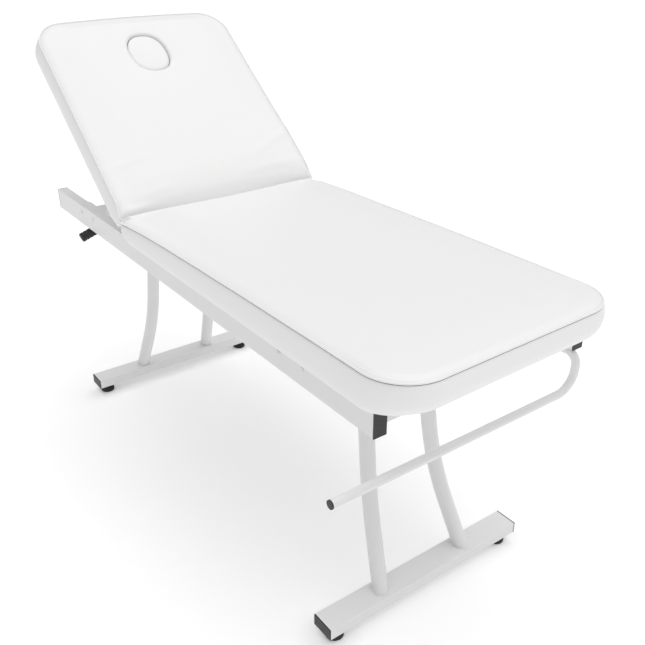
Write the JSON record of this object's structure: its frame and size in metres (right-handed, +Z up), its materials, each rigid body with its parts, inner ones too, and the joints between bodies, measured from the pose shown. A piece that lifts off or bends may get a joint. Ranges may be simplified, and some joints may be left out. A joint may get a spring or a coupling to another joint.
{
  "type": "facial treatment bed",
  "caption": "Padded treatment bed on a bent-tube frame, with a tilting backrest, a face hole with a plug, and a paper roll bar under the foot end.",
  "frame": {"origin": "on the floor, under the middle of the whole bed's bounding box at rest", "axes": "+Z up; +X towards the foot end; +Y towards the side with the roll bar's upright, away from the release lever"},
  "size_m": [1.6926, 0.703, 1.1952],
  "materials": {
    "white_steel": "white powder coat",
    "padding": "white smooth coated upholstery over foam",
    "black_plastic": "matt black moulding",
    "black_rubber": "ribbed matt rubber",
    "plywood": "plywood, unpainted",
    "bare_steel": "zinc plated",
    "dark_steel": "satin black paint"
  },
  "bodies": {
    "frame": {"side_rail_near": "white_steel", "side_rail_far": "white_steel", "rail_cap_head_near": "black_plastic", "rail_cap_head_far": "black_plastic", "rail_cap_foot_near": "black_plastic", "rail_cap_foot_far": "black_plastic", "foot_cross_tube": "white_steel", "seat_cross_tube": "white_steel", "rear_cross_tube": "white_steel", "front_cross_tube": "white_steel", "rear_end_plates": "white_steel", "front_end_plates": "white_steel", "rear_leg_near": "white_steel", "rear_leg_far": "white_steel", "front_leg_near": "white_steel", "front_leg_far": "white_steel", "rear_floor_bar": "white_steel", "front_floor_bar": "white_steel", "rear_bar_cap_near": "black_plastic", "rear_bar_cap_far": "black_plastic", "front_bar_cap_near": "black_plastic", "front_bar_cap_far": "black_plastic", "leg_frame_bolts": "white_steel", "seat_board": "plywood", "seat_cushion": "padding", "seat_board_screws": "bare_steel", "hinge_leaves_seat": "bare_steel", "hinge_pins": "bare_steel", "hinge_screws_seat": "bare_steel", "spring_base_bracket": "white_steel", "spring_base_bush": "bare_steel", "lever_pivot_bolt": "bare_steel", "lever_spacer": "bare_steel", "roll_bar": "white_steel", "roll_bar_plug": "black_plastic", "roll_bar_saddles": "white_steel"},
    "backrest": {"backrest_board": "plywood", "backrest_cushion": "padding", "hinge_leaves_backrest": "bare_steel", "hinge_screws_backrest": "bare_steel", "spring_top_bracket": "white_steel", "spring_top_bolt": "bare_steel"},
    "face_plug": {"face_plug_board": "plywood", "face_plug_cushion": "padding"},
    "spring_rod": {"gas_spring_rod": "bare_steel", "spring_release_head": "black_plastic"},
    "spring_cylinder": {"gas_spring_cylinder": "dark_steel"},
    "release_lever": {"release_lever": "white_steel", "lever_grip": "black_rubber"},
    "release_plunger": {"release_plunger": "bare_steel"},
    "foot_rear_near": {"levelling_foot_rear_near": "black_rubber"},
    "foot_rear_far": {"levelling_foot_rear_far": "black_rubber"},
    "foot_front_near": {"levelling_foot_front_near": "black_rubber"},
    "foot_front_far": {"levelling_foot_front_far": "black_rubber"}
  },
  "joints": [
    {"name": "backrest_hinge", "type": "hinge", "parent": "frame", "child": "backrest", "pos_m": [-0.28371, 0.0375, 0.728], "axis": [0, 1, 0], "range_deg": [-39, 6]},
    {"name": "spring_rod_swing", "type": "hinge", "parent": "frame", "child": "spring_rod", "pos_m": [-0.60871, -0.1325, 0.648], "axis": [0, 1, 0], "range_deg": [-58.5, 9.5]},
    {"name": "spring_cylinder_slide", "type": "slide", "parent": "spring_rod", "child": "spring_cylinder", "axis": [-0.4363, 0, 0.8998], "range_m": [-0.185, 0.0285]},
    {"name": "release_lever_hinge", "type": "hinge", "parent": "frame", "child": "release_lever", "pos_m": [-0.60671, -0.1775, 0.672], "axis": [1, 0, 0], "range_deg": [0, 12], "stiffness_Nm_per_rad": 3, "springref_deg": -8.59},
    {"name": "release_plunger_slide", "type": "slide", "parent": "frame", "child": "release_plunger", "axis": [0, 1, 0], "range_m": [0, 0.0067]},
    {"name": "face_plug_lift", "type": "slide", "parent": "backrest", "child": "face_plug", "axis": [0.6293, 0, 0.7771], "range_m": [0, 0.08]},
    {"name": "foot_screw_rear_near", "type": "slide", "parent": "frame", "child": "foot_rear_near", "axis": [0, 0, -1], "range_m": [0, 0.012]},
    {"name": "foot_screw_rear_far", "type": "slide", "parent": "frame", "child": "foot_rear_far", "axis": [0, 0, -1], "range_m": [0, 0.012]},
    {"name": "foot_screw_front_near", "type": "slide", "parent": "frame", "child": "foot_front_near", "axis": [0, 0, -1], "range_m": [0, 0.012]},
    {"name": "foot_screw_front_far", "type": "slide", "parent": "frame", "child": "foot_front_far", "axis": [0, 0, -1], "range_m": [0, 0.012]}
  ],
  "couplings": [
    {"joint": "spring_rod_swing", "follows": "backrest_hinge", "ratio": 1.48},
    {"joint": "spring_cylinder_slide", "follows": "backrest_hinge", "m_per_rad": 0.265},
    {"joint": "release_plunger_slide", "follows": "release_lever_hinge", "m_per_rad": 0.031}
  ]
}
